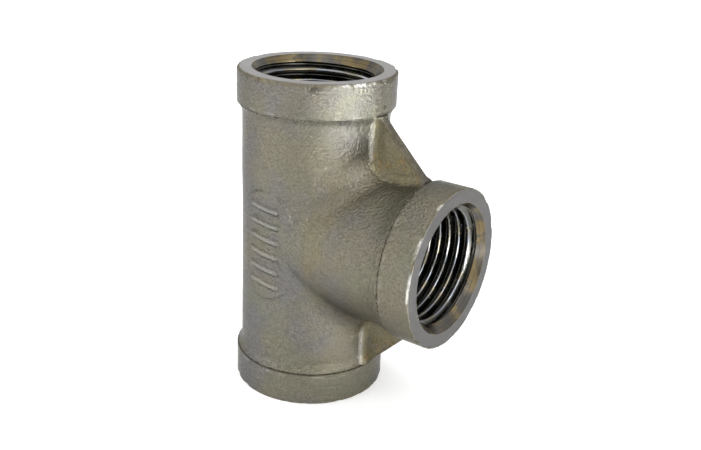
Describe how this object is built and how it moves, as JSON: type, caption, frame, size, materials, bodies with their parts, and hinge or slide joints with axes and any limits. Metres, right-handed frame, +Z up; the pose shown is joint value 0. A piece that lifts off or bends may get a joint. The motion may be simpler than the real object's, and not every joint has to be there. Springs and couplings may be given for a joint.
{
  "type": "pipe tee fitting",
  "caption": "Cast pipe tee with a reinforcing band round each mouth, female threads on all ends and corner webs between the run and the branch.",
  "frame": {"origin": "centre of the run's lower end face, in the plane of that face", "axes": "+Z up along the run's axis to the other run end, +X along the branch's axis and out of its mouth, Y across the plane of symmetry"},
  "size_m": [0.0413, 0.0266, 0.056],
  "materials": {
    "cast_skin": "as-cast and shot-blasted stainless steel, fine orange-peel grain, warm grey with an olive tint in the recesses",
    "cast_band": "as-cast and shot-blasted stainless steel with worn, brighter edges",
    "cut_thread": "turned and tapped stainless steel with fine tool marks"
  },
  "bodies": {
    "root": {"run_barrel": "cast_skin", "branch_barrel": "cast_skin", "top_band": "cast_band", "bottom_band": "cast_band", "branch_band": "cast_band", "top_thread": "cut_thread", "bottom_thread": "cut_thread", "branch_thread": "cut_thread", "upper_web": "cast_skin", "lower_web": "cast_skin", "marking_pad": "cast_skin"}
  },
  "joints": []
}
